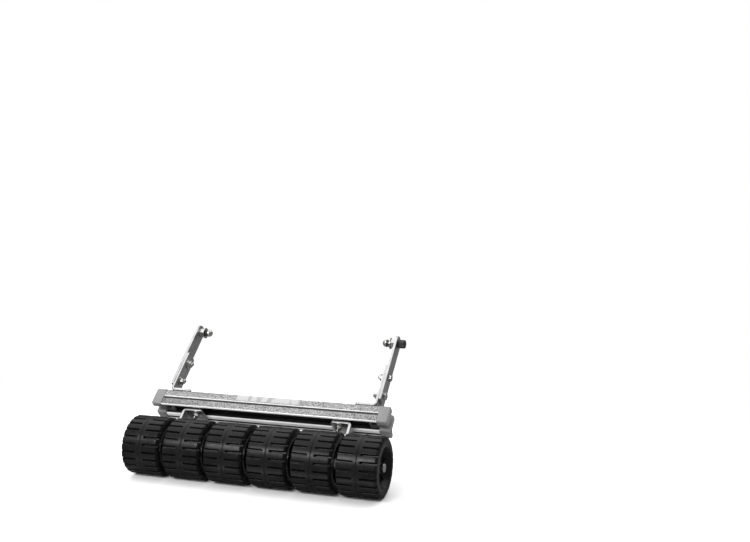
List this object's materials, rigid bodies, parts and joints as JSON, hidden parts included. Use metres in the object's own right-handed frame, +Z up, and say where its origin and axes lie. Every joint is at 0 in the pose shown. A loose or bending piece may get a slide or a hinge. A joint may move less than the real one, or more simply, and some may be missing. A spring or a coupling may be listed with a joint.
{
  "type": "lawn striping roller",
  "caption": "Towed lawn roller: slotted plastic drums on one axle under an aluminium beam, with two adjustable arms that hook onto a mower.",
  "frame": {"origin": "midway between the two mower studs, on their common axis", "axes": "+X along the roller to its right end, +Y forwards to the mower, +Z up; the frame stands at its working angle of 41 degrees"},
  "size_m": [0.53, 0.278, 0.2704],
  "materials": {
    "drum_plastic": "satin moulded black",
    "bush_plastic": "natural nylon",
    "cap_plastic": "moulded grey",
    "knob_plastic": "moulded black",
    "aluminium": "blasted and clear anodised",
    "plate_steel": "zinc plated plate",
    "zinc": "bright zinc",
    "label_film": "plain printed film without lettering"
  },
  "bodies": {
    "frame": {"axle": "zinc", "axle_cap_left": "zinc", "axle_cap_right": "zinc", "axle_spacer_1": "zinc", "axle_spacer_2": "zinc", "axle_spacer_3": "zinc", "hanger_bush_left": "bush_plastic", "hanger_bush_right": "bush_plastic", "hanger_left": "plate_steel", "hanger_right": "plate_steel", "hanger_bolt_left": "zinc", "hanger_bolt_right": "zinc", "hanger_nut_left": "zinc", "hanger_nut_right": "zinc", "beam": "aluminium", "end_cap_left": "cap_plastic", "end_cap_right": "cap_plastic", "end_cap_screw_left": "knob_plastic", "end_cap_screw_right": "knob_plastic", "label_plate": "label_film"},
    "roller_1": {"drum_1": "drum_plastic", "drum_bush_1": "bush_plastic"},
    "roller_2": {"drum_2": "drum_plastic", "drum_bush_2": "bush_plastic"},
    "roller_3": {"drum_3": "drum_plastic", "drum_bush_3": "bush_plastic"},
    "roller_4": {"drum_4": "drum_plastic", "drum_bush_4": "bush_plastic"},
    "roller_5": {"drum_5": "drum_plastic", "drum_bush_5": "bush_plastic"},
    "roller_6": {"drum_6": "drum_plastic", "drum_bush_6": "bush_plastic"},
    "arm_left": {"upper_bracket_left": "plate_steel", "arm_bar_left": "plate_steel", "arm_bolt_lower_left": "zinc", "arm_bolt_upper_left": "zinc", "arm_nut_lower_left": "zinc", "arm_nut_upper_left": "zinc", "foot_bolt_left": "zinc", "slide_nut_left": "zinc", "stud_nut_left": "zinc", "stud_washer_left": "zinc", "mower_stud_left": "zinc", "stud_sleeve_left": "knob_plastic"},
    "arm_right": {"upper_bracket_right": "plate_steel", "arm_bar_right": "plate_steel", "arm_bolt_lower_right": "zinc", "arm_bolt_upper_right": "zinc", "arm_nut_lower_right": "zinc", "arm_nut_upper_right": "zinc", "foot_bolt_right": "zinc", "slide_nut_right": "zinc", "stud_nut_right": "zinc", "stud_washer_right": "zinc"},
    "stud_right": {"mower_stud_right": "zinc", "stud_sleeve_right": "knob_plastic", "stud_knob_right": "knob_plastic"}
  },
  "joints": [
    {"name": "roller_1_spin", "type": "hinge", "parent": "frame", "child": "roller_1", "pos_m": [-0.225, -0.20445, -0.19694], "axis": [1, 0, 0], "continuous": true},
    {"name": "roller_2_spin", "type": "hinge", "parent": "frame", "child": "roller_2", "pos_m": [-0.135, -0.20445, -0.19694], "axis": [1, 0, 0], "continuous": true},
    {"name": "roller_3_spin", "type": "hinge", "parent": "frame", "child": "roller_3", "pos_m": [-0.045, -0.20445, -0.19694], "axis": [1, 0, 0], "continuous": true},
    {"name": "roller_4_spin", "type": "hinge", "parent": "frame", "child": "roller_4", "pos_m": [0.045, -0.20445, -0.19694], "axis": [1, 0, 0], "continuous": true},
    {"name": "roller_5_spin", "type": "hinge", "parent": "frame", "child": "roller_5", "pos_m": [0.135, -0.20445, -0.19694], "axis": [1, 0, 0], "continuous": true},
    {"name": "roller_6_spin", "type": "hinge", "parent": "frame", "child": "roller_6", "pos_m": [0.225, -0.20445, -0.19694], "axis": [1, 0, 0], "continuous": true},
    {"name": "arm_left_slide", "type": "slide", "parent": "frame", "child": "arm_left", "axis": [1, 0, 0], "range_m": [-0.006, 0.06]},
    {"name": "arm_right_slide", "type": "slide", "parent": "frame", "child": "arm_right", "axis": [-1, 0, 0], "range_m": [-0.006, 0.06]},
    {"name": "knob_right_turn", "type": "hinge", "parent": "arm_right", "child": "stud_right", "pos_m": [0.22, 0, 0], "axis": [1, 0, 0], "continuous": true}
  ]
}
